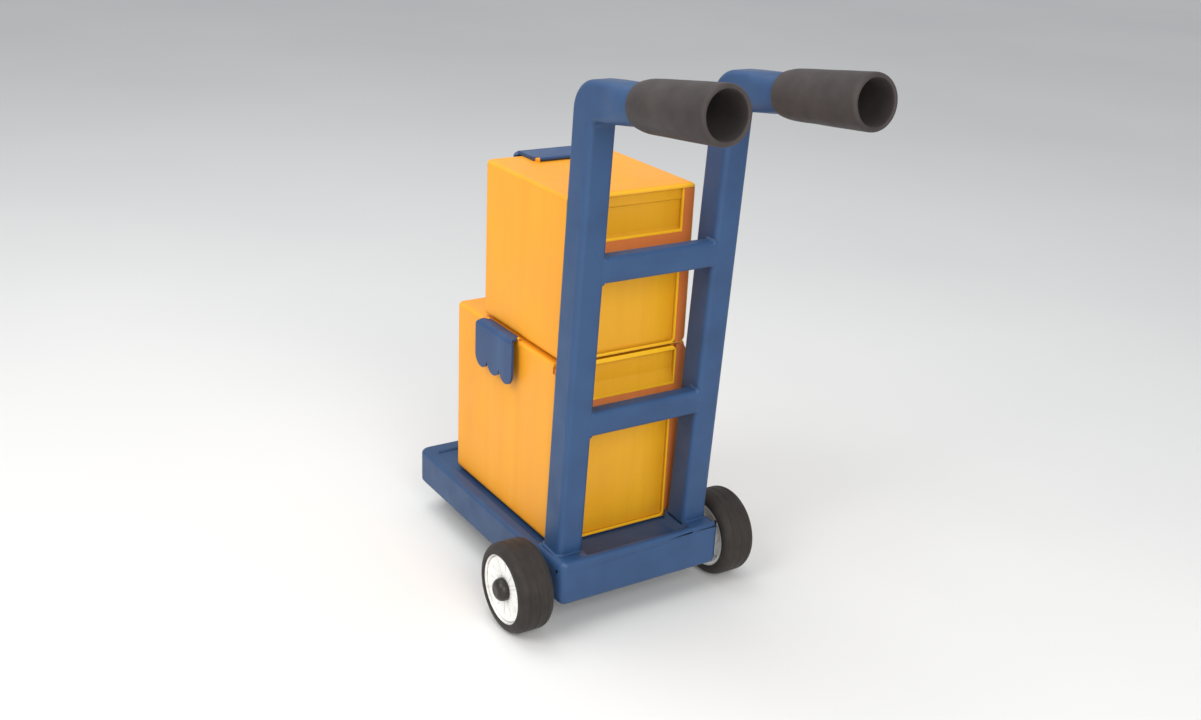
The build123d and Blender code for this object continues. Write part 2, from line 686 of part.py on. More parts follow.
def make_shell(case):
    """Yellow box, open at the top, with a recess in its back for the back frame."""
    rear = case.back + BACK_DEPTH + BIN_WALL
    front = case.front - BIN_WALL
    with BuildPart() as shell:
        with BuildSketch(Plane.XY.offset(case.floor)):
            with Locations((0, case.back)):
                Rectangle(2 * case.half, case.front - case.back, align=(Align.CENTER, Align.MIN))
        extrude(amount=case.seam - case.floor)
        fillet(shell.edges().filter_by(Axis.Z).group_by(Axis.Y)[-1], BIN_CORNER)
        rear_face = shell.faces().sort_by(Axis.Y)[0]
        fillet(shell.edges().group_by(Axis.Z)[0] - rear_face.edges(), BIN_BOTTOM_CORNER)
        rear_edges = shell.faces().sort_by(Axis.Y)[0].edges()
        fillet(rear_edges - rear_edges.group_by(Axis.Z)[-1], BIN_BACK_ROUND)
        # Inside
        with BuildSketch(Plane.XY.offset(case.floor + BIN_WALL)):
            with Locations((0, (rear + front) / 2)):
                RectangleRounded(2 * (case.half - BIN_WALL), front - rear, BIN_CORNER - BIN_WALL)
        extrude(amount=REACH, mode=Mode.SUBTRACT)
        fillet(shell.faces().filter_by(Axis.Z).sort_by(Axis.Z)[1].edges(), BIN_BOTTOM_CORNER - BIN_WALL)
        # Recess for the back frame, and nothing left beside the frame above the rim
        with BuildSketch(back_plane(case, BACK_DEPTH)) as recess:
            with Locations((0, case.floor + BACK_RIM)):
                Rectangle(2 * (case.half - BACK_RIM), REACH, align=(Align.CENTER, Align.MIN))
            fillet(recess.vertices().group_by(Axis.Y)[0], BIN_BOTTOM_CORNER - BACK_RIM)
            with Locations((0, case.rim_top)):
                Rectangle(REACH, REACH, align=(Align.CENTER, Align.MIN))
        extrude(amount=REACH, mode=Mode.SUBTRACT)
        # Pad that the bin stands on
        with BuildSketch(Plane.XY.offset(case.bottom)):
            with Locations((0, (case.back + case.front) / 2)):
                RectangleRounded(
                    2 * (case.half - PLINTH_INSET), case.front - case.back - 2 * PLINTH_INSET, BIN_CORNER
                )
        extrude(amount=PLINTH)
    save(shell.part, f"{case.name}_bin_shell")


def make_back_frame(case):
    """Orange H: a strip up each side of the bin's back and a band between tray and panel."""
    half = case.half - BACK_RIM - BACK_GAP
    with BuildPart() as back_frame:
        with BuildSketch(back_plane(case, BACK_DEPTH)) as outline:
            with Locations((0, case.back_bottom)):
                Rectangle(2 * half, case.frame_top - case.back_bottom, align=(Align.CENTER, Align.MIN))
            fillet(outline.vertices().group_by(Axis.Y)[0], BIN_BOTTOM_CORNER - BACK_RIM - BACK_GAP)
            fillet(outline.vertices().group_by(Axis.Y)[-1], case.frame_corner)
            with Locations((0, case.tray_bottom)):
                Rectangle(2 * case.tray_half, REACH, align=(Align.CENTER, Align.MIN), mode=Mode.SUBTRACT)
            with Locations((0, case.panel_top)):
                Rectangle(2 * case.panel_half, REACH, align=(Align.CENTER, Align.MAX), mode=Mode.SUBTRACT)
        extrude(amount=BACK_DEPTH)
    save(back_frame.part, f"{case.name}_bin_back_frame")


def recess_outline(case):
    """Side view of a tray's recess: a slope at its foot, a flat face, perhaps a shallower band on top."""
    rear = case.back - REACH
    face = case.back + TRAY_RECESS
    band = case.back + TRAY_BAND
    foot = case.tray_bottom + TRAY_BOTTOM_LIP
    outline = [(rear, foot), (case.back, foot), (face, foot + case.recess_slope)]
    if case.band_bottom < case.recess_top:
        outline += [(face, case.band_bottom - TRAY_DRAFT), (band, case.band_bottom), (band, case.recess_top)]
    else:
        outline += [(face, case.recess_top)]
    return outline + [(rear, case.recess_top)]


def make_label_tray(case):
    """Yellow tray for a label card: a proud lip round a shallow recess."""
    with BuildPart() as tray:
        with BuildSketch(back_plane(case, BACK_DEPTH)) as lip:
            with Locations((0, case.tray_bottom)):
                height = case.tray_top - case.tray_bottom
                Rectangle(2 * case.tray_half, height, align=(Align.CENTER, Align.MIN))
            fillet(lip.vertices().group_by(Axis.Y)[-1], case.tray_corner)
        extrude(amount=BACK_DEPTH + LIP_PROUD)
        fillet(tray.faces().sort_by(Axis.Y)[0].edges(), LIP_ROUND)
        with BuildSketch(Plane.YZ):
            with BuildLine():
                Polyline(recess_outline(case), close=True)
            make_face()
        extrude(amount=case.tray_half - TRAY_SIDE_LIP, both=True, mode=Mode.SUBTRACT)
    save(tray.part, f"{case.name}_bin_pocket_tray")


def make_rear_panel(case):
    """Yellow shallow panel with a lip, below the tray."""
    height = case.panel_top - case.back_bottom
    with BuildPart() as panel:
        with BuildSketch(back_plane(case, BACK_DEPTH)) as outline:
            with Locations((0, case.back_bottom)):
                Rectangle(2 * case.panel_half, height, align=(Align.CENTER, Align.MIN))
            fillet(outline.vertices().group_by(Axis.Y)[0], PANEL_CORNER)
        extrude(amount=BACK_DEPTH + LIP_PROUD)
        fillet(panel.faces().sort_by(Axis.Y)[0].edges(), LIP_ROUND)
        with BuildSketch(back_plane(case, PANEL_RECESS)):
            with Locations((0, case.back_bottom + height / 2)):
                RectangleRounded(
                    2 * (case.panel_half - PANEL_LIP), height - 2 * PANEL_LIP, PANEL_CORNER - PANEL_LIP
                )
        extrude(amount=REACH, mode=Mode.SUBTRACT)
    save(panel.part, f"{case.name}_bin_rear_panel")


def clip_section(clip, along=0.0):
    """Plane across a clip: its x points out from the lid's edge and its y points up."""
    edge = Vector(clip.edge)
    across = Vector(clip.outward)
    normal = across.cross(Vector(0, 0, 1))
    return Plane(origin=edge + normal * along, x_dir=across, z_dir=normal)


def clip_face(clip, out):
    """Plane along the lid's edge, seen from outside: its x runs along the edge and its y points up."""
    across = Vector(clip.outward)
    return Plane(
        origin=Vector(clip.edge) + across * out, x_dir=Vector(0, 0, 1).cross(across), z_dir=across
    )


def make_lid(case, clips):
    """Flat lid with a skirt inside the bin and two lugs for each of its clips."""
    depth = case.front - case.lid_back
    skirt_back = case.back + BACK_DEPTH + BIN_WALL + SKIRT_CLEARANCE
    skirt_front = case.front - BIN_WALL - SKIRT_CLEARANCE
    skirt_corner = BIN_CORNER - BIN_WALL
    skirt_width = 2 * (case.half - BIN_WALL - SKIRT_CLEARANCE)
    skirt_depth = skirt_front - skirt_back
    with BuildPart() as lid:
        with BuildSketch(Plane.XY.offset(case.seam)):
            with Locations((0, case.lid_back + depth / 2)):
                Rectangle(2 * case.half, depth)
        extrude(amount=LID_THICKNESS)
        fillet(lid.edges().filter_by(Axis.Z).group_by(Axis.Y)[-1], BIN_CORNER)
        fillet(lid.edges().filter_by(Axis.Z).group_by(Axis.Y)[0], LID_BACK_ROUND)
        rear_face = lid.faces().sort_by(Axis.Y)[0]
        fillet(lid.edges().group_by(Axis.Z)[-1] - rear_face.edges(), LID_EDGE)
        with BuildSketch(Plane.XY.offset(case.seam)):
            with Locations((0, (skirt_back + skirt_front) / 2)):
                RectangleRounded(skirt_width, skirt_depth, skirt_corner)
                RectangleRounded(
                    skirt_width - 2 * SKIRT_WALL, skirt_depth - 2 * SKIRT_WALL, skirt_corner - SKIRT_WALL,
                    mode=Mode.SUBTRACT,
                )
        extrude(amount=-SKIRT_DEPTH)
        for clip in clips:
            pivot = (clip.pivot_out, clip.pivot_up)
            # Groove under the barrel
            with BuildSketch(clip_section(clip)):
                with Locations(pivot):
                    Circle(clip.barrel + LUG_GAP)
            extrude(amount=clip.lug_middle - LUG_WIDTH / 2, both=True, mode=Mode.SUBTRACT)
            # Lugs
            for along in (-clip.lug_middle, clip.lug_middle):
                with BuildSketch(clip_section(clip, along)):
                    with Locations(pivot):
                        Circle(clip.barrel)
                        foot = clip.pivot_up + LID_EDGE / 2
                        Rectangle(2 * clip.barrel, foot, align=(Align.CENTER, Align.MAX))
                extrude(amount=LUG_WIDTH / 2, both=True)
            with BuildSketch(clip_section(clip)):
                with Locations(pivot):
                    Circle(PIN_RADIUS + FIT)
            extrude(amount=clip.half, both=True, mode=Mode.SUBTRACT)
    save(lid.part, f"{case.name}_bin_lid")


def make_clip(clip):
    """Scalloped plate that hangs over the lid's edge from a barrel on the lid."""
    top = clip.pivot_up + clip.barrel
    under = top - clip.flange
    inside = clip.standoff - clip.plate
    lobe = clip.half / 3
    with BuildPart() as plate:
        with BuildSketch(clip_section(clip)) as profile:
            with BuildLine():
                Polyline(
                    (clip.pivot_out, top), (clip.standoff, top), (clip.standoff, -clip.drop),
                    (inside, -clip.drop), (inside, under), (clip.pivot_out, under),
                    close=True,
                )
            make_face()
            fillet(profile.vertices().sort_by_distance((clip.standoff, top, 0))[0], CLIP_BEND)
            fillet(profile.vertices().sort_by_distance((inside, under, 0))[0], CLIP_INNER_BEND)
            with Locations((clip.pivot_out, clip.pivot_up)):
                Circle(clip.barrel)
        extrude(amount=clip.half, both=True)
        # Outline seen from outside: rounded upper corners and three round lobes
        with BuildSketch(clip_face(clip, clip.pivot_out - 2 * clip.barrel)) as outline:
            with Locations((0, top)):
                Rectangle(2 * clip.half, top + clip.drop - lobe, align=(Align.CENTER, Align.MAX))
            fillet(outline.vertices().group_by(Axis.Y)[-1], CLIP_CORNER)
            with Locations([(2 * lobe * place, lobe - clip.drop) for place in (-1, 0, 1)]):
                Circle(lobe)
        extrude(amount=REACH, mode=Mode.INTERSECT)
        # Room for the lugs, out to the ends of the barrel
        barrel_half = clip.lug_middle - LUG_WIDTH / 2 - LUG_GAP
        for along in (-1, 1):
            with BuildSketch(clip_section(clip, along * barrel_half)):
                with Locations((clip.pivot_out - 2 * clip.barrel, 0)):
                    Rectangle(3 * clip.barrel + LUG_GAP, 4 * top, align=(Align.MIN, Align.CENTER))
            extrude(amount=along * REACH, mode=Mode.SUBTRACT)
        with BuildSketch(clip_section(clip)):
            with Locations((clip.pivot_out, clip.pivot_up)):
                Circle(PIN_RADIUS + FIT)
        extrude(amount=clip.half, both=True, mode=Mode.SUBTRACT)
    save(plate.part, clip.name)


def make_pin(clip):
    with BuildPart() as pin:
        with BuildSketch(clip_section(clip)):
            with Locations((clip.pivot_out, clip.pivot_up)):
                Circle(PIN_RADIUS)
        extrude(amount=clip.lug_middle + LUG_WIDTH / 2, both=True)
    save(pin.part, f"{clip.name}_pin")


make_crossbeam()
make_front_rail()
make_deck()
make_axle()
for level, height in RUNG_CENTRES:
    make_rung(level, height)
for side, sign in SIDES:
    make_side_rail(side, sign)
    make_stile(side, sign)
    make_handle(side, sign)
    make_plug(side, sign)
    make_grip(side, sign)
    make_leg(side, sign)
    make_foot(side, sign)
    make_tyre(side, sign)
    make_hub(side, sign)
    make_disc(side, sign)
    make_bushes(side, sign)
    make_spacer(side, sign)
    make_cap(side, sign)
for case in BINS:
    make_shell(case)
    make_back_frame(case)
    make_label_tray(case)
    make_rear_panel(case)
make_lid(LOWER_BIN, (LEFT_CLIP, RIGHT_CLIP))
make_lid(UPPER_BIN, (FRONT_CLIP,))
for clip in CLIPS:
    make_clip(clip)
    make_pin(clip)
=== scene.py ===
import math
from dataclasses import dataclass

import bmesh
import bpy
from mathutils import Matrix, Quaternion, Vector, noise


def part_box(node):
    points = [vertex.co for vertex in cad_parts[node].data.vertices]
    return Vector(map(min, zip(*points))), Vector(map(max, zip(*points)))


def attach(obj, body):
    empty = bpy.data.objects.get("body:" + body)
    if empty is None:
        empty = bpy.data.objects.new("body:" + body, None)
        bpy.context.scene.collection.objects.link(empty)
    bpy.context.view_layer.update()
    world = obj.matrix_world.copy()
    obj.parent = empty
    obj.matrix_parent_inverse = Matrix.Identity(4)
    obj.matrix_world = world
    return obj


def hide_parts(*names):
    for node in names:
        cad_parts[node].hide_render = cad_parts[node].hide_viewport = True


# The looks of a small book cart: smooth welded tubes, rubber grips, moulded clips and node materials, built
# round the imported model. Metres, in the frame of the CAD model: X across, +Y to the front of the base, +Z up.

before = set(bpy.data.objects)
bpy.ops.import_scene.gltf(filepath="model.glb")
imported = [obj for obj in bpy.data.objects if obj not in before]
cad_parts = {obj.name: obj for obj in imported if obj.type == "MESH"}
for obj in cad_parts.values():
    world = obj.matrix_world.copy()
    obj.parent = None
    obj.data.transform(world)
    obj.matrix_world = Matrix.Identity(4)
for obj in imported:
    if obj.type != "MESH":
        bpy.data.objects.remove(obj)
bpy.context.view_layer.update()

MM = 0.001
SIDES = (("left", -1), ("right", 1))

# Sizes that the CAD model uses, for the pieces that replace its nodes
LEAN = math.atan(0.055)             # the stiles lean back
HANDLE_RISE = math.radians(6.9)     # the handles rise to the back
CORNER_HEIGHT = 652.8 * MM          # where the centre lines of stile and handle meet
TUBE_DEPTH = 39.5 * MM
TUBE_CORNER = 7 * MM
HANDLE_HEIGHT = 44.6 * MM
HANDLE_WIDTH = 41 * MM
GRIP_START = 92 * MM                # back along a handle from the corner
FRONT_RAIL_WIDTH = 24 * MM
RUNG_DEPTH = 20 * MM
RUNG_HEIGHT = 32 * MM
UPPER_BIN_HEIGHT = 204.2 * MM       # with its lid


# ---------------------------------------------------------------- materials

def linear(code):
    """Linear colour, with alpha, of an sRGB hex code."""
    channels = [int(code[i:i + 2], 16) / 255 for i in (0, 2, 4)]
    return [c / 12.92 if c <= 0.04045 else ((c + 0.055) / 1.055) ** 2.4 for c in channels] + [1.0]


class Finish:
    """One node material, built up from colour layers, a roughness and a height."""

    def __init__(self, name, base, metallic=0.0, specular=0.5, coat=0.0, coat_roughness=0.2, sheen=0.0):
        self.material = bpy.data.materials.new(name)
        self.material.use_nodes = True
        self.tree = self.material.node_tree
        self.tree.nodes.clear()
        output = self.node("ShaderNodeOutputMaterial")
        self.shader = self.node("ShaderNodeBsdfPrincipled")
        self.tree.links.new(self.shader.outputs["BSDF"], output.inputs["Surface"])
        self.shader.inputs["Metallic"].default_value = metallic
        self.shader.inputs["Specular IOR Level"].default_value = specular
        self.shader.inputs["Coat Weight"].default_value = coat
        self.shader.inputs["Coat Roughness"].default_value = coat_roughness
        self.shader.inputs["Sheen Weight"].default_value = sheen
        self.place = self.node("ShaderNodeTexCoord").outputs["Object"]
        self.geometry = self.node("ShaderNodeNewGeometry")
        self.colour = linear(base)
        self.round_normal = None
        self.height = None

    def node(self, kind, **settings):
        made = self.tree.nodes.new(kind)
        for key, value in settings.items():
            setattr(made, key, value)
        return made

    def give(self, socket, value):
        """Links a socket, or sets it to a constant."""
        if isinstance(value, bpy.types.NodeSocket):
            self.tree.links.new(value, socket)
        else:
            socket.default_value = value

    def math(self, operation, a, b=0.0):
        made = self.node("ShaderNodeMath", operation=operation)
        self.give(made.inputs[0], a)
        self.give(made.inputs[1], b)
        return made.outputs[0]

    def fit(self, value, low, high, to_low=0.0, to_high=1.0):
        """Maps low..high to to_low..to_high, and holds it there outside."""
        made = self.node("ShaderNodeMapRange")
        for socket, number in zip(made.inputs[:5], (value, low, high, to_low, to_high)):
            self.give(socket, number)
        return made.outputs[0]

    def mix(self, factor, a, b):
        made = self.node("ShaderNodeMix", data_type="RGBA")
        self.give(made.inputs[0], factor)
        self.give(made.inputs[6], a)
        self.give(made.inputs[7], b)
        return made.outputs[2]

    def noise(self, scale, detail=3.0, stretch=(1, 1, 1), distortion=0.0, place=None):
        mapping = self.node("ShaderNodeMapping")
        self.give(mapping.inputs["Vector"], place or self.place)
        mapping.inputs["Scale"].default_value = stretch
        made = self.node("ShaderNodeTexNoise")
        self.give(made.inputs["Vector"], mapping.outputs[0])
        made.inputs["Scale"].default_value = scale
        made.inputs["Detail"].default_value = detail
        made.inputs["Distortion"].default_value = distortion
        return made.outputs[0]

    def layer(self, mask, code, amount):
        """Lays a colour over what is there, by a mask."""
        self.colour = self.mix(self.math("MULTIPLY", mask, amount), self.colour, linear(code))

    def clouds(self, scale, code, amount, detail=4.0, low=0.35, high=0.7, **how):
        self.layer(self.fit(self.noise(scale, detail, **how), low, high), code, amount)

    def edges(self, radius, code, amount, width=0.09, patchy=60.0):
        """Rounds the shading at the edges and lays a paler colour along them in patches: partly wear, partly a
        painted highlight on the rounded edges.
        """
        bevel = self.node("ShaderNodeBevel", samples=4)
        bevel.inputs["Radius"].default_value = radius
        self.round_normal = bevel.outputs[0]
        dot = self.node("ShaderNodeVectorMath", operation="DOT_PRODUCT")
        self.give(dot.inputs[0], self.round_normal)
        self.give(dot.inputs[1], self.geometry.outputs["Normal"])
        bend = self.fit(dot.outputs["Value"], 1.0, 1.0 - width)
        wear_and_highlight = self.fit(self.noise(patchy, 5.0), 0.3, 0.62, 0.25, 1.0)
        self.layer(self.math("MULTIPLY", bend, wear_and_highlight), code, amount)

    def shade_in_hollows(self, distance, code, amount):
        """Paints shade: deepens the colour where other surfaces are close."""
        made = self.node("ShaderNodeAmbientOcclusion", samples=6)
        made.inputs["Distance"].default_value = distance
        self.layer(self.fit(made.outputs["AO"], 0.25, 0.9, 1.0, 0.0), code, amount)

    def rough(self, low, high, scale=30.0, **how):
        wanted = self.fit(self.noise(scale, 4.0, **how), 0.3, 0.7, low, high)
        self.give(self.shader.inputs["Roughness"], wanted)

    def relief(self, value, depth):
        """Adds a height, in metres, to the bump."""
        part = self.math("MULTIPLY", value, depth / MM)
        self.height = part if self.height is None else self.math("ADD", self.height, part)

    def done(self):
        self.give(self.shader.inputs["Base Color"], self.colour)
        if self.height is not None:
            bump = self.node("ShaderNodeBump")
            bump.inputs["Strength"].default_value = 1.0
            bump.inputs["Distance"].default_value = MM
            self.give(bump.inputs["Height"], self.height)
            if self.round_normal is not None:
                self.give(bump.inputs["Normal"], self.round_normal)
            self.give(self.shader.inputs["Normal"], bump.outputs[0])
        elif self.round_normal is not None:
            self.give(self.shader.inputs["Normal"], self.round_normal)
        return self.material


def powder_coat(name, base, deep, pale, edge):
    """Satin powder coat: orange peel, soft mottling, paler edges that are partly wear and partly painted
    highlight, and painted shade in corners.
    """
    finish = Finish(name, base, specular=0.32, coat=0.06, coat_roughness=0.35)
    finish.clouds(11.0, pale, 0.45, low=0.4, high=0.72)
    finish.clouds(24.0, deep, 0.35, low=0.45, high=0.75)
    finish.clouds(420.0, pale, 0.12, detail=2.0)
    finish.shade_in_hollows(14 * MM, deep, 0.75)
    finish.edges(1.6 * MM, edge, 0.4, width=0.12)
    finish.rough(0.38, 0.54, 26.0)
    finish.relief(finish.noise(620.0, 2.0), 0.045 * MM)
    finish.relief(finish.noise(55.0, 2.0), 0.25 * MM)
    return finish.done()


LIP_HIGHLIGHT_BACK = -19.3 * MM               # Y where the lips at the bins' backs have all of their painted highlight
LIP_HIGHLIGHT_FRONT = -18.4 * MM              # and where it ends


def moulded(
    name, base, deep, pale, edge, low=0.36, high=0.5,
    radius=1.2 * MM, near=16 * MM, shade_amount=0.6, lip=None,
):
    """Moulded plastic: faint upright flow streaks, fine grain, bright edges that are painted highlight, and
    painted shade, a deeper colour, in hollows.

    A lip is a brighter colour, a painted highlight, on what stands furthest to the rear, at the bins' backs.
    """
    finish = Finish(name, base, specular=0.3)
    finish.clouds(9.0, pale, 0.45, low=0.4, high=0.7)
    finish.clouds(70.0, deep, 0.12, stretch=(1.0, 1.0, 0.07), detail=5.0)
    finish.clouds(38.0, edge, 0.16, stretch=(1.0, 1.0, 0.06), low=0.5, high=0.75)
    finish.clouds(900.0, deep, 0.06, detail=1.0)
    finish.shade_in_hollows(near, deep, shade_amount)
    # Painted highlight: a brighter colour on what stands furthest to the rear
    if lip:
        split = finish.node("ShaderNodeSeparateXYZ")
        finish.give(split.inputs[0], finish.place)
        proud_highlight = finish.fit(split.outputs["Y"], LIP_HIGHLIGHT_FRONT, LIP_HIGHLIGHT_BACK)
        finish.layer(proud_highlight, lip, 0.85)
    finish.edges(radius, edge, 0.4, width=0.16, patchy=25.0)
    finish.rough(low, high, 18.0)
    finish.relief(finish.noise(1500.0, 2.0), 0.016 * MM)
    finish.relief(finish.noise(70.0, 3.0, stretch=(1.0, 1.0, 0.1)), 0.06 * MM)
    finish.relief(finish.noise(14.0, 1.0), 0.35 * MM)
    return finish.done()


def rubber(name, base, deep, pale, edge, low=0.55, high=0.72, radius=2.2 * MM):
    """Moulded rubber: matte, dusty, with fine pores, a paler bloom, painted shade in hollows, and paler edges
    that are partly wear and partly painted highlight.
    """
    finish = Finish(name, base, specular=0.25, sheen=0.04)
    finish.clouds(16.0, pale, 0.5, low=0.4, high=0.7, distortion=0.6)
    finish.clouds(60.0, deep, 0.35)
    finish.clouds(1200.0, deep, 0.15, detail=1.0)
    finish.shade_in_hollows(12 * MM, deep, 0.7)
    finish.edges(radius, edge, 0.55, width=0.14, patchy=40.0)
    finish.rough(low, high, 40.0)
    finish.relief(finish.noise(900.0, 3.0), 0.05 * MM)
    finish.relief(finish.noise(120.0, 2.0, distortion=0.4), 0.12 * MM)
    return finish


def wheel_distance(finish, centre):
    """Distance from the axle's line, in metres, the angle round it, and the place along it."""
    split = finish.node("ShaderNodeSeparateXYZ")
    finish.give(split.inputs[0], finish.place)
    y = finish.math("SUBTRACT", split.outputs["Y"], centre.y)
    z = finish.math("SUBTRACT", split.outputs["Z"], centre.z)
    squares = finish.math("ADD", finish.math("MULTIPLY", y, y), finish.math("MULTIPLY", z, z))
    return finish.math("SQRT", squares), finish.math("ARCTAN2", z, y), split.outputs["X"]


def ring_place(finish, centre):
    """Coordinates that run along the wheel's radius, its turn and its width."""
    radius, angle, across = wheel_distance(finish, centre)
    joined = finish.node("ShaderNodeCombineXYZ")
    finish.give(joined.inputs[0], radius)
    finish.give(joined.inputs[1], finish.math("MULTIPLY", angle, 0.01))
    finish.give(joined.inputs[2], across)
    return joined.outputs[0]


def tyre_rubber(centre):
    finish = rubber("tyre_grey", "2C2725", "1B1817", "38322E", "4A443F", 0.58, 0.76, 1.2 * MM)
    place = ring_place(finish, centre)
    finish.layer(finish.fit(finish.noise(320.0, 3.0, place=place), 0.45, 0.75), "3E3833", 0.3)
    finish.relief(finish.noise(420.0, 2.0, place=place), 0.12 * MM)
    return finish.done()


def disc_plastic(centre):
    """White wheel face with faint rays, painted shade round the rim and a painted highlight on its edges."""
    finish = Finish("hub_white", "FAFAF7", specular=0.4)
    radius, angle, _ = wheel_distance(finish, centre)
    joined = finish.node("ShaderNodeCombineXYZ")
    finish.give(joined.inputs[0], finish.math("MULTIPLY", radius, 0.15))
    finish.give(joined.inputs[1], finish.math("SINE", angle))
    finish.give(joined.inputs[2], finish.math("COSINE", angle))
    rays = finish.noise(9.0, 4.0, place=joined.outputs[0])
    finish.layer(finish.fit(rays, 0.5, 0.78), "B9B5AE", 0.5)
    finish.clouds(60.0, "DAD6CE", 0.5)
    # Painted shade round the rim, then a painted highlight on the edges
    finish.shade_in_hollows(5 * MM, "8F8A82", 0.7)
    finish.edges(0.8 * MM, "FFFFFF", 0.6, width=0.1)
    finish.rough(0.36, 0.52, 50.0)
    finish.relief(rays, 0.25 * MM)
    finish.relief(finish.noise(900.0, 2.0), 0.02 * MM)
    return finish.done()


def steel(name, base, deep):
    """Drawn bright bar: fine lines along it and a little dull film."""
    finish = Finish(name, base, metallic=1.0)
    finish.clouds(500.0, deep, 0.35, stretch=(0.03, 1.0, 1.0), detail=4.0)
    finish.clouds(40.0, deep, 0.4)
    finish.rough(0.22, 0.42, 300.0, stretch=(0.05, 1.0, 1.0))
    finish.relief(finish.noise(800.0, 2.0, stretch=(0.04, 1.0, 1.0)), 0.012 * MM)
    return finish.done()


axle_low, axle_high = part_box("axle")
AXLE = (axle_low + axle_high) / 2

# In each finish the deep colour is also painted shade in hollows, the edge colour is painted highlight along
# edges (on the powder coat and rubber partly wear too), and a lip colour is painted highlight on the bins'
# rearmost lips.
MATERIALS = {
    "frame_blue": powder_coat("frame_blue", "29456A", "1B3254", "315078", "587CA6"),
    "clip_blue": moulded("clip_blue", "2B456C", "182B48", "335280", "5F82AE", 0.34, 0.48),
    "bin_yellow": moulded("bin_yellow", "EC9E22", "CC7C12", "F2A92C", "F8BC48", lip="EDB22C"),
    "tray_gold": moulded(
        "tray_gold", "D89A1C", "B0760C", "DFA624", "F6C52E", 0.3, 0.44,
        radius=1.0 * MM, near=30 * MM, shade_amount=0.95, lip="EFB81C",
    ),
    "frame_orange": moulded("frame_orange", "CC7034", "A04E1E", "D47A3C", "DE8E50", shade_amount=0.15),
    "grip_grey": rubber("grip_grey", "3B3534", "221E1D", "48413F", "5C5451").done(),
    "tyre_grey": tyre_rubber(AXLE),
    "hub_white": disc_plastic(AXLE),
    "cap_black": moulded("cap_black", "2B2725", "161413", "38322F", "57504B", 0.26, 0.4),
    "foot_black": rubber("foot_black", "2E2C2B", "1B1A19", "3C3937", "4C4845").done(),
    "bush_nylon": moulded("bush_nylon", "D8D3C4", "A8A291", "E2DED2", "F0EDE4"),
    "bright_steel": steel("bright_steel", "B9BABC", "77787B"),
}

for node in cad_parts.values():
    for slot in node.material_slots:
        finish_name = slot.material.name.split(".")[0]
        slot.link = "OBJECT"
        slot.material = MATERIALS[finish_name]


# ---------------------------------------------------------------- mesh tools

def section(width, height, corner, steps=6):
    """Points round a rectangle with round corners, from the right side upwards."""
    points = []
    for quarter, (right, up) in enumerate(((1, 1), (-1, 1), (-1, -1), (1, -1))):
        for i in range(steps):
            turn = math.pi / 2 * (quarter + i / (steps - 1))
            points.append((
                right * (width / 2 - corner) + corner * math.cos(turn),
                up * (height / 2 - corner) + corner * math.sin(turn),
            ))
    return points


def skin(mesh, rings, joined=False):
    """Faces between each ring and the next; joined goes on from the last ring to the first."""
    loops = [[mesh.verts.new(point) for point in ring] for ring in rings]
    following = loops[1:] + loops[:1] if joined else loops[1:]
    for ring, after in zip(loops, following):
        for i in range(len(ring)):
            j = (i + 1) % len(ring)
            mesh.faces.new((ring[i], ring[j], after[j], after[i]))
    if not joined:
        mesh.faces.new(loops[0][::-1])
        mesh.faces.new(loops[-1])


def add_piece(name, mesh, body, slot, replaces=(), steps=()):
    """Makes the object, gives it its modifiers and material, and puts it on its body."""
    bmesh.ops.recalc_face_normals(mesh, faces=mesh.faces)
    data = bpy.data.meshes.new(name)
    mesh.to_mesh(data)
    mesh.free()
    data.polygons.foreach_set("use_smooth", [True] * len(data.polygons))
    data.materials.append(MATERIALS[slot])
    made = bpy.data.objects.new(name, data)
    bpy.context.scene.collection.objects.link(made)
    for kind, settings in steps:
        modifier = made.modifiers.new(kind.lower(), kind)
        for key, value in settings.items():
            setattr(modifier, key, value)
    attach(made, body)
    if replaces:
        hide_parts(*replaces)
    return made


FLAT_FACES = ("WEIGHTED_NORMAL", {"weight": 100, "keep_sharp": True})


def fillet_arc(corner, towards_first, towards_last, radius, count):
    """Points on the round of a corner, in a plane; the two directions point away from the corner."""
    first, last = towards_first.normalized(), towards_last.normalized()
    half = first.angle(last) / 2
    centre = corner + (first + last).normalized() * radius / math.sin(half)
    start = corner + first * radius / math.tan(half) - centre
    end = corner + last * radius / math.tan(half) - centre
    whole = start.angle(end)
    points = []
    for i in range(count):
        t = i / (count - 1)
        mixed = (start * math.sin((1 - t) * whole) + end * math.sin(t * whole)) / math.sin(whole)
        points.append(centre + mixed)
    return points


def weld(distance, reach):
    """How far a weld's fillet stands out at this distance from the joint."""
    t = max(0.0, 1 - distance / reach)
    return reach * (1 - math.sqrt(max(0.0, 1 - t * t)))


# ---------------------------------------------------------------- stiles and handles

STILE_WELD = 3                      # size of the weld at a stile's foot, in millimetres
STILE_FOOT = (-3, 0, 0.3, 0.8, 1.4, 2.1, 3, 30)     # heights of the rings at the foot, in millimetres
STILE_RINGS = (0.25, 0.5, 0.75, 0.9)                # and of those above, as shares of the stile
ELBOW_OUTER = 38 * MM
ELBOW_INNER = 9 * MM
ELBOW_STEPS = 17
BLEND_START = 36                    # where the section starts to turn from the stile's to the handle's
BLEND_LENGTH = 35
BLEND_CORNER = 7
BLEND_ROUNDING = 8                  # how much the corner grows over the blend
BLEND_STEPS = 8
# Rings of the handle that end inside the grip: distance back and corner, in millimetres
HANDLE_END = ((77, 16.5), (83, 18), (89, 19), (99, 19.5))


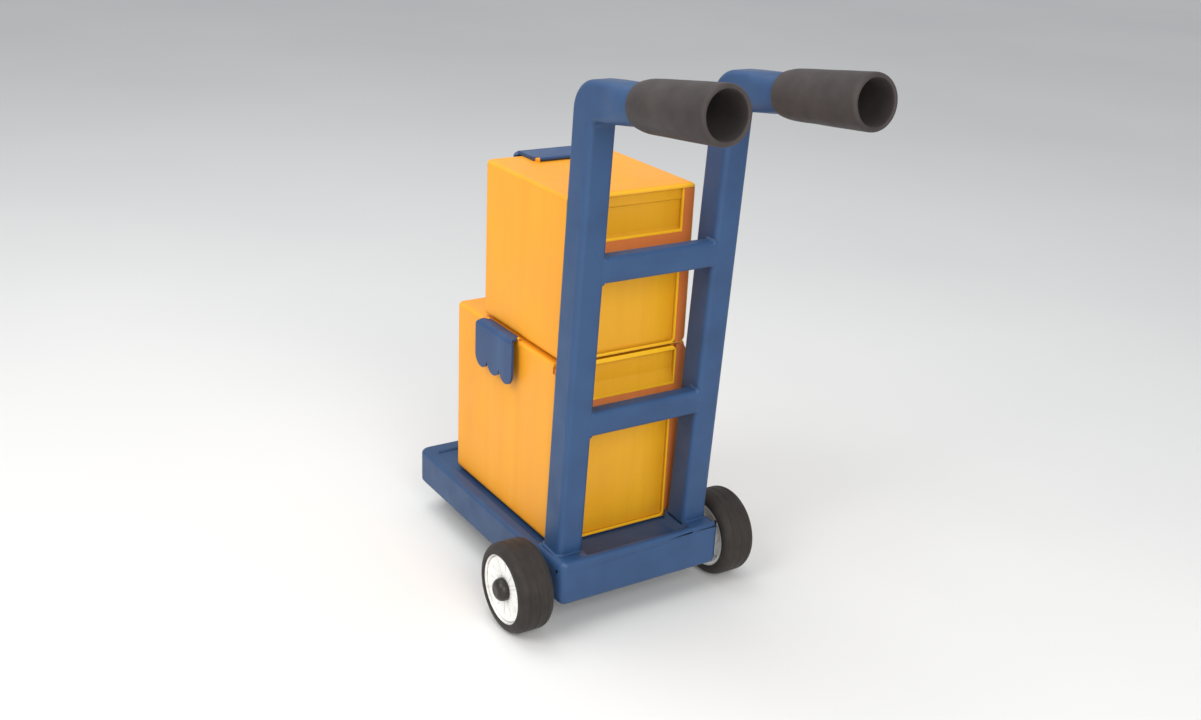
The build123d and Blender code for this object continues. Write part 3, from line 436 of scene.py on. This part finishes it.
def side_view(side):
    """Points of a stile and a handle in the side view, as (Y, Z) vectors."""
    foot_low, foot_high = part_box(f"{side}_stile")
    along_stile = Vector((math.sin(LEAN), -math.cos(LEAN)))
    along_handle = Vector((-math.cos(HANDLE_RISE), math.sin(HANDLE_RISE)))
    foot = Vector((foot_high.y - TUBE_DEPTH / 2 / math.cos(LEAN), foot_low.z))
    corner = foot + Vector((-math.tan(LEAN), 1)) * (CORNER_HEIGHT - foot_low.z)

    def stile(down, front):
        return corner + along_stile * down + Vector((math.cos(LEAN), math.sin(LEAN))) * front

    def handle(back, up):
        return corner + along_handle * back + Vector((math.sin(HANDLE_RISE), math.cos(HANDLE_RISE))) * up

    def meeting(front, up):
        bend = LEAN + HANDLE_RISE
        return stile((front * math.sin(bend) - up) / math.cos(bend), front)

    return stile, handle, meeting, along_stile, along_handle, (corner - foot).length


def between(x, rear, front, width, corner):
    """Ring round a tube that reaches from a rear point to a front point of the side view."""
    depth = (front - rear).length
    across = (front - rear).normalized()
    middle = (front + rear) / 2
    return [
        Vector((x + u, *(middle + across * v)))
        for u, v in section(width, depth, min(corner, depth / 2 - 0.1 * MM, width / 2 - 0.1 * MM))
    ]


def make_tube(side, sign):
    """Stile, elbow and handle as one bent tube, from the weld on the beam to inside the grip."""
    low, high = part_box(f"{side}_stile")
    x = (low.x + high.x) / 2
    width = high.x - low.x
    stile, handle, meeting, along_stile, along_handle, length = side_view(side)
    half, half_handle = TUBE_DEPTH / 2, HANDLE_HEIGHT / 2
    rings = []
    # The weld's fillet leaves out the side of the trough
    for up in STILE_FOOT:
        out = weld(max(0.0, up * MM), STILE_WELD * MM)
        place = length - up * MM
        rings.append(between(
            x + sign * out / 2, stile(place, -half - out), stile(place, half + out),
            width + out, TUBE_CORNER + out,
        ))
    for share in STILE_RINGS:
        down = length * (1 - share)
        rings.append(between(x, stile(down, -half), stile(down, half), width, TUBE_CORNER))
    outer = fillet_arc(meeting(half, half_handle), along_stile, along_handle, ELBOW_OUTER, ELBOW_STEPS)
    inner = fillet_arc(meeting(-half, -half_handle), along_stile, along_handle, ELBOW_INNER, ELBOW_STEPS)
    for rear, front in zip(inner, outer):
        rings.append(between(x, rear, front, width, TUBE_CORNER))
    for i in range(BLEND_STEPS + 1):
        t = i / BLEND_STEPS
        back = (BLEND_START + BLEND_LENGTH * t) * MM
        ease = t * t * (3 - 2 * t)
        rings.append(between(
            x, handle(back, -half_handle), handle(back, half_handle), width + (HANDLE_WIDTH - width) * ease,
            (BLEND_CORNER + BLEND_ROUNDING * ease) * MM,
        ))
    for back, corner in HANDLE_END:
        rings.append(between(
            x, handle(back * MM, -half_handle), handle(back * MM, half_handle), HANDLE_WIDTH, corner * MM
        ))
    mesh = bmesh.new()
    skin(mesh, rings)
    nodes = (f"{side}_stile", f"{side}_handle")
    add_piece(f"{side}_bent_tube", mesh, "frame", "frame_blue", nodes, [FLAT_FACES])


# Distance back from the front of a grip, and radius, in millimetres: the outside, the rim, then the hollow
GRIP_PROFILE = (
    (0, 19.1), (0, 21.6), (0.3, 22.9), (1.1, 24.1), (2.5, 25), (4.6, 25.6), (8, 26.3), (12, 27),
    (17, 27.7), (25, 28), (37, 28.3), (51, 28.6), (67, 28.95), (83, 29.3), (99, 29.65), (115, 29.95),
    (125, 30.15), (131, 30.28), (133.6, 30.28), (135.3, 29.9), (136.6, 29.1), (137.35, 28), (137.4, 26.9),
    (137.3, 25.8), (136.6, 25), (135.2, 24.5), (133, 24.35), (116, 24.3), (91, 24.3), (67, 24.3),
    (63, 23.8), (61.4, 22.4), (61, 20.6), (61, 19.1),
)
GRIP_SIDES = 72
GRIP_OUTSIDE = 24.6                 # smallest radius of the outside, past its front
GRIP_SOFTNESS = 0.28                # depth of the uneven dips, in millimetres
CREASE_BACK = 39                    # a shallow slanting crease in the moulding, in millimetres
CREASE_SLANT = 16
CREASE_WIDTH = 3.2
CREASE_DEPTH = 0.35


def make_grip(side, sign):
    """Rubber grip: a bullet-shaped front, a slow taper out to a soft rim, and a deep hollow."""
    low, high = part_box(f"{side}_stile")
    x = (low.x + high.x) / 2
    _, handle, _, _, along, _ = side_view(side)
    start = handle(0, 0)
    origin = Vector((x, *start))
    forward = Vector((0, *along))
    upward = Vector((1, 0, 0)).cross(forward)
    rings = []
    for past_start, radius in GRIP_PROFILE:
        on_axis = origin + forward * (GRIP_START + past_start * MM)
        outside = 1.0 if radius > GRIP_OUTSIDE and past_start > 3 else 0.0
        ring = []
        for i in range(GRIP_SIDES):
            turn = 2 * math.pi * i / GRIP_SIDES
            side_way = Vector((1, 0, 0)) * math.cos(turn) + upward * math.sin(turn)
            soft = noise.noise((on_axis + side_way * 0.03) * 42 + Vector((sign, 0, 0)))
            slant = past_start - CREASE_BACK - CREASE_SLANT * math.sin(turn + 0.6 * sign)
            crease = math.exp(-(slant / CREASE_WIDTH) ** 2) * max(0.0, math.cos(turn - 1.9))
            dip = outside * (GRIP_SOFTNESS * (1 + soft) + CREASE_DEPTH * crease)
            ring.append(on_axis + side_way * (radius - dip) * MM)
        rings.append(ring)
    mesh = bmesh.new()
    skin(mesh, rings, joined=True)
    add_piece(
        f"{side}_grip_rubber", mesh, "frame", "grip_grey", (f"{side}_grip",),
        [("SUBSURF", {"levels": 1, "render_levels": 1})],
    )


RUNG_WELD = 2.5 * MM
RUNG_CORNER = 5.5 * MM
# Places along half a rung, from the stile's inner face outwards, and how far its rear face sinks there,
# in millimetres
RUNG_ROW = (
    (-60, 0), (-8, 0), (-5, 0.02), (-2.5, 0.08), (-1.4, 0.12), (-0.7, 0.14),
    (0, 0.18), (2, 0.24), (4, 0.3), (12, 0.6),
)


def make_rung(level):
    """Cross tube between the stiles. Its ends run into them, and its rear face sinks a little there."""
    low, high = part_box(f"{level}_rung")
    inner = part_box("right_stile")[0].x
    lean = Vector((0, -math.sin(LEAN), math.cos(LEAN)))
    out = Vector((0, math.cos(LEAN), math.sin(LEAN)))
    middle = (low + high) / 2
    half_row = [(inner + x * MM, sink * MM) for x, sink in RUNG_ROW]
    rings = []
    for x, sink in [(-x, sink) for x, sink in reversed(half_row)] + half_row:
        grow = weld(max(0.0, inner - abs(x)), RUNG_WELD)
        ring = []
        for u, v in section(RUNG_DEPTH, RUNG_HEIGHT + 2 * grow, RUNG_CORNER):
            across = u + grow / 2 if u > 0 else u + sink
            ring.append(middle + Vector((x, 0, 0)) + lean * v + out * across)
        rings.append(ring)
    mesh = bmesh.new()
    skin(mesh, rings)
    add_piece(f"{level}_cross_tube", mesh, "frame", "frame_blue", (f"{level}_rung",), [FLAT_FACES])


# ---------------------------------------------------------------- base

BEAM_END = 11 * MM                  # round of the beam's ends
BEAM_LIP = 11 * MM
BEAM_FOOT_CORNER = 7 * MM
BEAM_TOP_CORNER = 5 * MM
TROUGH_CORNER = 4.5 * MM
TROUGH_FOOT = 4 * MM
DECK_LAP = 2 * MM                   # how far the trough's floor laps over the deck
# The rolled seam on the rear face: height above its middle in millimetres, and share of its depth
BEAM_SEAM = ((-3.2, 0), (-1.8, 0.35), (-0.7, 1.0), (0, 1.0), (0.8, 0.75), (2.2, 0.3), (4.2, 0))
SEAM_DEPTH = 1.2 * MM
SEAM_REACH = 100 * MM
CORNER_STEPS = 6


def beam_section(low, high, deck, open_trough, shrink, groove, seam):
    """Ring round the rear beam in the (Y, Z) plane: a rounded lip at the rear and a trough in front of it."""
    rear, front = low.y + shrink, high.y
    bottom, top = low.z + shrink, high.z - shrink
    floor = deck if open_trough else top

    def corner(y, z, radius, start):
        turns = [start - math.pi / 2 * i / CORNER_STEPS for i in range(CORNER_STEPS + 1)]
        return [(y + radius * math.cos(turn), z + radius * math.sin(turn)) for turn in turns]

    ring = corner(rear + BEAM_FOOT_CORNER, bottom + BEAM_FOOT_CORNER, BEAM_FOOT_CORNER, -math.pi / 2)
    for step, depth in BEAM_SEAM:
        ring.append((rear + depth * groove, seam + step * MM))
    ring += corner(rear + BEAM_TOP_CORNER, top - BEAM_TOP_CORNER, BEAM_TOP_CORNER, math.pi)
    lip = rear + BEAM_LIP
    if open_trough:
        ring += corner(lip - TROUGH_CORNER, top - TROUGH_CORNER, TROUGH_CORNER, math.pi / 2)
        for i in range(CORNER_STEPS + 1):
            turn = math.pi / 2 * i / CORNER_STEPS
            ahead, above = TROUGH_FOOT * (1 - math.cos(turn)), TROUGH_FOOT * (1 - math.sin(turn))
            ring.append((lip + ahead, floor + above))
    else:
        ring += [(lip - 4 * MM + i * MM, top) for i in range(2 * (CORNER_STEPS + 1))]
    lap = DECK_LAP if open_trough else 0.0
    ring += [
        (front - 6 * MM, floor), (front + lap, floor + lap * 0.1), (front + lap, floor - 0.5 * MM),
        (front, floor - 1 * MM), (front, bottom + 2 * MM), (front - 4 * MM, bottom),
    ]
    return ring


def make_beam():
    """Rear beam with soft ends, a trough between the stiles and a seam under its rear lip."""
    low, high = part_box("rear_crossbeam")
    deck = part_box("deck_plate")[1].z
    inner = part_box("right_stile")[0].x
    # Place across the cart, whether the trough is open there, and how much the section shrinks
    stations = [(inner, True, 0.0), (inner + 1 * MM, False, 0.0)]
    for i in range(CORNER_STEPS + 1):
        turn = math.pi / 2 * i / CORNER_STEPS
        place = high.x - BEAM_END + BEAM_END * math.sin(turn)
        stations.append((place, False, BEAM_END * (1 - math.cos(turn))))
    steps = 12
    middle = [(inner * (2 * i / steps - 1), True, 0.0) for i in range(1, steps)]
    row = [(-x, trough, shrink) for x, trough, shrink in reversed(stations)] + middle + stations
    mesh = bmesh.new()
    rings = []
    for x, trough, shrink in row:
        # The seam fades out at both ends, and climbs to the right
        groove = SEAM_DEPTH * max(0.0, 1 - abs((x + 2 * MM) / SEAM_REACH) ** 4)
        climb = max(0.0, min(1.0, x / (150 * MM) + 0.35))
        seam = high.z - (14 - 8 * climb) * MM
        ring = beam_section(low, high, deck, trough, shrink, groove, seam)
        rings.append([Vector((x, y, z)) for y, z in ring])
    skin(mesh, rings)
    add_piece("rear_beam", mesh, "frame", "frame_blue", ("rear_crossbeam",), [FLAT_FACES])


RAIL_WELD = 4 * MM
RAIL_CORNER = 5 * MM
RAIL_BEND_OUTER = 14 * MM
RAIL_BEND_INNER = 5 * MM
RAIL_BEND_STEPS = 13
RAIL_START = (-2, 0, 0.4, 1, 1.8, 2.8, 4, 60)       # places of the first rings, in millimetres


def make_base_rail():
    """Side rails and front rail as one bent tube with round front corners."""
    rail_low, rail_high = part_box("right_side_rail")
    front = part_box("front_rail")[1].y
    outer_x, inner_x = rail_high.x, rail_low.x
    bottom, top = rail_low.z, rail_high.z
    outer_corner = Vector((outer_x, front))
    inner_corner = Vector((inner_x, front - FRONT_RAIL_WIDTH))
    back, left = Vector((0, -1)), Vector((-1, 0))
    pairs = []
    for distance in RAIL_START:
        y = rail_low.y + distance * MM
        out = weld(max(0.0, distance * MM), RAIL_WELD)
        pairs.append((Vector((outer_x, y)), Vector((inner_x - out, y))))
    outer = fillet_arc(outer_corner, back, left, RAIL_BEND_OUTER, RAIL_BEND_STEPS)
    inner = fillet_arc(inner_corner, back, left, RAIL_BEND_INNER, RAIL_BEND_STEPS)
    pairs += list(zip(outer, inner))
    pairs += [(Vector((-a.x, a.y)), Vector((-b.x, b.y))) for a, b in reversed(pairs)]
    rings = []
    for outside, inside in pairs:
        across = outside - inside
        middle = (outside + inside) / 2
        direction = across.normalized()
        rings.append([
            Vector((*(middle + direction * u), (bottom + top) / 2 + v))
            for u, v in section(across.length, top - bottom, RAIL_CORNER)
        ])
    mesh = bmesh.new()
    skin(mesh, rings)
    nodes = ("left_side_rail", "right_side_rail", "front_rail")
    add_piece("base_rail", mesh, "frame", "frame_blue", nodes, [FLAT_FACES])


# ---------------------------------------------------------------- clips

# Sizes in millimetres
CLIP_SLEEVE = 1.5                   # inside of a clip round its pin
CLIP_BEND = 7.0
CLIP_CORNER = 9.0
CLIP_NARROWING = 0.55               # share of the corner that it takes off the flange
LUG_GAP = 0.5
LUG_WIDENING = 2.2                  # over this distance a clip widens, past the lugs
CLIP_EDGE = 1.1
WRAP_STEPS = 5
BEND_STEPS = 8
LOBE_STEPS = 12
LOBE_ROWS = (0.35, 0.65, 0.88, 1.0)
BARREL_SIDES = 28
BARREL_END = ((0, 0.72), (0.25, 0.88), (0.8, 0.96))     # distance from the end, and share of the radius
SAME_PLACE = 1e-7                   # metres


@dataclass
class Clip:
    """One lid clip. Out and up are measured from the lid's top edge, in millimetres; edge is in metres."""

    name: str
    body: str
    outward: tuple
    edge: Vector
    half: float
    barrel_half: float
    pivot_out: float
    pivot_up: float
    barrel: float
    flange: float
    plate: float
    standoff: float
    drop: float

    @property
    def top(self):
        return self.pivot_up + self.barrel

    @property
    def lobe(self):
        return self.half / 3

    @property
    def straight(self):
        """Height where the plate's straight part ends and its lobes begin."""
        return self.lobe - self.drop

    @property
    def lug_room(self):
        return self.barrel + LUG_GAP

    def at(self, out, up, along):
        outward = Vector(self.outward)
        sideways = Vector((0, 0, 1)).cross(outward)
        return self.edge + (outward * out + Vector((0, 0, up)) + sideways * along) * MM

    def width(self, out, up):
        """Half the clip's width at a point of its outer face: narrow at the lugs, rounded at the corners."""
        lowered = max(0.0, self.top - up) if out > self.standoff - CLIP_BEND else 0.0
        rounded = CLIP_CORNER - math.sqrt(max(0.0, CLIP_CORNER ** 2 - max(0.0, CLIP_CORNER - lowered) ** 2))
        past_lugs = max(0.0, min(1.0, (out - self.pivot_out - self.lug_room) / LUG_WIDENING))
        wide = self.half - min(rounded, CLIP_CORNER * CLIP_NARROWING)
        return self.barrel_half + (wide - self.barrel_half) * past_lugs


def clip_path(clip):
    """Points of the outer and the inner face in the side view, from over the pin to the lobes."""
    top, under = clip.top, clip.top - clip.flange
    path = []
    for i in range(WRAP_STEPS + 1):
        turn = math.pi * (1 - i / (2 * WRAP_STEPS))
        aside, above = math.cos(turn), math.sin(turn)
        path.append((
            (clip.pivot_out + clip.barrel * aside, clip.pivot_up + clip.barrel * above),
            (clip.pivot_out + CLIP_SLEEVE * aside, clip.pivot_up + CLIP_SLEEVE * above),
        ))
    slant = CLIP_SLEEVE / math.sqrt(2)
    path.append(((clip.pivot_out + 0.8, top), (clip.pivot_out + slant, clip.pivot_up + slant)))
    path.append(((clip.pivot_out + 1.6, top), (clip.pivot_out + CLIP_SLEEVE, clip.pivot_up)))
    widened = clip.lug_room + LUG_WIDENING
    flat = clip.standoff - CLIP_BEND - clip.pivot_out
    steps = [clip.lug_room, (clip.lug_room + widened) / 2, widened]
    steps += [widened + (flat - widened) * share for share in (0.33, 0.67)]
    path += [((clip.pivot_out + step, top), (clip.pivot_out + step, under)) for step in steps]
    for i in range(BEND_STEPS + 1):
        turn = math.pi / 2 * i / BEND_STEPS
        aside, above = math.sin(turn), math.cos(turn)
        out, up = clip.standoff - CLIP_BEND, top - CLIP_BEND
        path.append((
            (out + CLIP_BEND * aside, up + CLIP_BEND * above),
            (out + (CLIP_BEND - clip.plate) * aside, up + (CLIP_BEND - clip.flange) * above),
        ))
    for share in (0.2, 0.4, 0.6, 0.8, 1.0):
        up = (top - CLIP_BEND) * (1 - share) + clip.straight * share
        path.append(((clip.standoff, up), (clip.standoff - clip.plate, up)))
    return path


def clip_columns(clip):
    """Places across the clip, and how far its three lobes hang down there."""
    columns = []
    for lobe in range(3):
        for i in range(1 if lobe else 0, LOBE_STEPS + 1):
            turn = math.pi * i / LOBE_STEPS
            columns.append((
                2 * clip.lobe * (lobe - 1) - clip.lobe * math.cos(turn), clip.lobe * math.sin(turn)
            ))
    return columns


def make_clip_plate(clip):
    """The flange over the lid's edge and the plate with three lobes, thick towards the bin."""
    columns = clip_columns(clip)
    mesh = bmesh.new()
    outer = []
    inner = []
    for face_point, back_point in clip_path(clip):
        share = clip.width(*face_point) / clip.half
        for rows, point in ((outer, face_point), (inner, back_point)):
            rows.append([mesh.verts.new(clip.at(*point, along * share)) for along, _ in columns])
    for share in LOBE_ROWS:
        for rows, out in ((outer, clip.standoff), (inner, clip.standoff - clip.plate)):
            rows.append([
                mesh.verts.new(clip.at(out, clip.straight - deep * share, along)) for along, deep in columns
            ])

    def add_face(*vertices):
        """Adds a face without the vertices that fall together between the lobes."""
        corners = []
        for vertex in vertices:
            if all((vertex.co - other.co).length > SAME_PLACE for other in corners):
                corners.append(vertex)
        if len(corners) > 2:
            mesh.faces.new(corners)

    last = len(columns) - 1
    for k in range(len(outer) - 1):
        for i in range(last):
            add_face(outer[k][i], outer[k][i + 1], outer[k + 1][i + 1], outer[k + 1][i])
            add_face(inner[k][i], inner[k + 1][i], inner[k + 1][i + 1], inner[k][i + 1])
        for i in (0, last):
            add_face(outer[k][i], outer[k + 1][i], inner[k + 1][i], inner[k][i])
    for k in (0, -1):
        for i in range(last):
            add_face(outer[k][i], outer[k][i + 1], inner[k][i + 1], inner[k][i])
    bmesh.ops.remove_doubles(mesh, verts=mesh.verts, dist=10 * SAME_PLACE)
    rounding = {
        "width": CLIP_EDGE * MM, "segments": 3, "limit_method": "ANGLE", "angle_limit": math.radians(50),
    }
    steps = [("BEVEL", rounding), FLAT_FACES]
    add_piece(f"{clip.name}_plate", mesh, clip.body, "clip_blue", (clip.name,), steps)


def make_clip_barrel(clip):
    """Barrel round the pin, between the lugs."""
    stations = [(-clip.barrel_half + inward, share) for inward, share in BARREL_END]
    stations += [(clip.barrel_half - inward, share) for inward, share in reversed(BARREL_END)]
    turns = [2 * math.pi * i / BARREL_SIDES for i in range(BARREL_SIDES)]
    rings = []
    for along, share in stations:
        radius = clip.barrel * share
        rings.append([
            clip.at(clip.pivot_out + radius * math.cos(turn), clip.pivot_up + radius * math.sin(turn), along)
            for turn in turns
        ])
    mesh = bmesh.new()
    skin(mesh, rings)
    add_piece(f"{clip.name}_barrel", mesh, clip.body, "clip_blue", (), [FLAT_FACES])


def make_clip(clip):
    make_clip_plate(clip)
    make_clip_barrel(clip)


# The lower bin's lid and the upper bin's lid, at their top edges
lower_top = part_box("upper_bin_shell")[0].z
lower_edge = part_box("lower_bin_lid")[1].x
upper_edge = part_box("upper_bin_lid")[1].y
clip_low, clip_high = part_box("lower_left_clip")
clip_y = (clip_low.y + clip_high.y) / 2

for side, sign in SIDES:
    make_tube(side, sign)
    make_grip(side, sign)
    make_clip(Clip(
        name=f"lower_{side}_clip", body=f"{side}_clip", outward=(sign, 0, 0),
        edge=Vector((sign * lower_edge, clip_y, lower_top)),
        half=47.3, barrel_half=36.5, pivot_out=-2.9, pivot_up=1.2, barrel=2.4, flange=3.2, plate=3.4,
        standoff=12.0, drop=58.0,
    ))
make_clip(Clip(
    name="upper_front_clip", body="front_clip", outward=(0, 1, 0),
    edge=Vector((0, upper_edge, lower_top + UPPER_BIN_HEIGHT)),
    half=44.0, barrel_half=33.5, pivot_out=-38.0, pivot_up=2.8, barrel=2.4, flange=4.8, plate=3.8,
    standoff=10.0, drop=55.0,
))
make_rung("lower")
make_rung("upper")
make_beam()
make_base_rail()


# ---------------------------------------------------------------- floor, lights and camera

def make_floor():
    mesh = bmesh.new()
    bmesh.ops.create_grid(mesh, x_segments=1, y_segments=1, size=12.0)
    data = bpy.data.meshes.new("floor")
    mesh.to_mesh(data)
    mesh.free()
    made = bpy.data.objects.new("floor", data)
    bpy.context.scene.collection.objects.link(made)
    finish = Finish("floor_pale", "DEDEDC", specular=0.2)
    finish.clouds(0.8, "D6D6D5", 0.6)
    finish.rough(0.75, 0.9, 4.0)
    data.materials.append(finish.done())


def add_area(name, azimuth, elevation, distance, size, power, target, tint):
    """Soft area light that looks at the target from an azimuth and an elevation."""
    lamp = bpy.data.lights.new(name, "AREA")
    lamp.shape = "DISK"
    lamp.size = size
    lamp.energy = power
    lamp.color = tint
    made = bpy.data.objects.new(name, lamp)
    a, e = math.radians(azimuth), math.radians(elevation)
    back = Vector((math.sin(a) * math.cos(e), -math.cos(a) * math.cos(e), math.sin(e)))
    made.location = target + back * distance
    made.rotation_mode = "QUATERNION"
    made.rotation_quaternion = back.to_track_quat("Z", "Y")
    bpy.context.scene.collection.objects.link(made)


def make_light():
    world = bpy.data.worlds.new("studio")
    world.use_nodes = True
    background = world.node_tree.nodes["Background"]
    background.inputs["Color"].default_value = (0.93, 0.95, 1.0, 1.0)
    background.inputs["Strength"].default_value = 0.62
    bpy.context.scene.world = world
    target = Vector((0, 0, 0.35))
    add_area("key", -80, 42, 2.6, 1.6, 34, target, (1.0, 0.98, 0.95))
    add_area("fill", -14, 24, 3.0, 2.2, 66, target, (1.0, 0.98, 0.95))
    add_area("top", -150, 68, 2.8, 2.0, 30, target, (1.0, 1.0, 1.0))


def make_camera():
    """Camera at the viewing angle, a little rolled."""
    azimuth, elevation, roll = math.radians(-33.35), math.radians(21.65), math.radians(2.79)
    aim = Vector((0.014, 0.052, 0.291))
    distance = 1.738
    back = Vector((
        math.sin(azimuth) * math.cos(elevation), -math.cos(azimuth) * math.cos(elevation), math.sin(elevation)
    ))
    data = bpy.data.cameras.new("camera")
    data.sensor_width = 36.0
    data.lens = 41.1
    data.clip_start = 0.01
    made = bpy.data.objects.new("camera", data)
    made.location = aim + back * distance
    made.rotation_mode = "QUATERNION"
    made.rotation_quaternion = (-back).to_track_quat("-Z", "Y") @ Quaternion((0, 0, 1), roll)
    bpy.context.scene.collection.objects.link(made)
    bpy.context.scene.camera = made


make_floor()
make_light()
make_camera()
bpy.context.scene.view_settings.view_transform = "Standard"
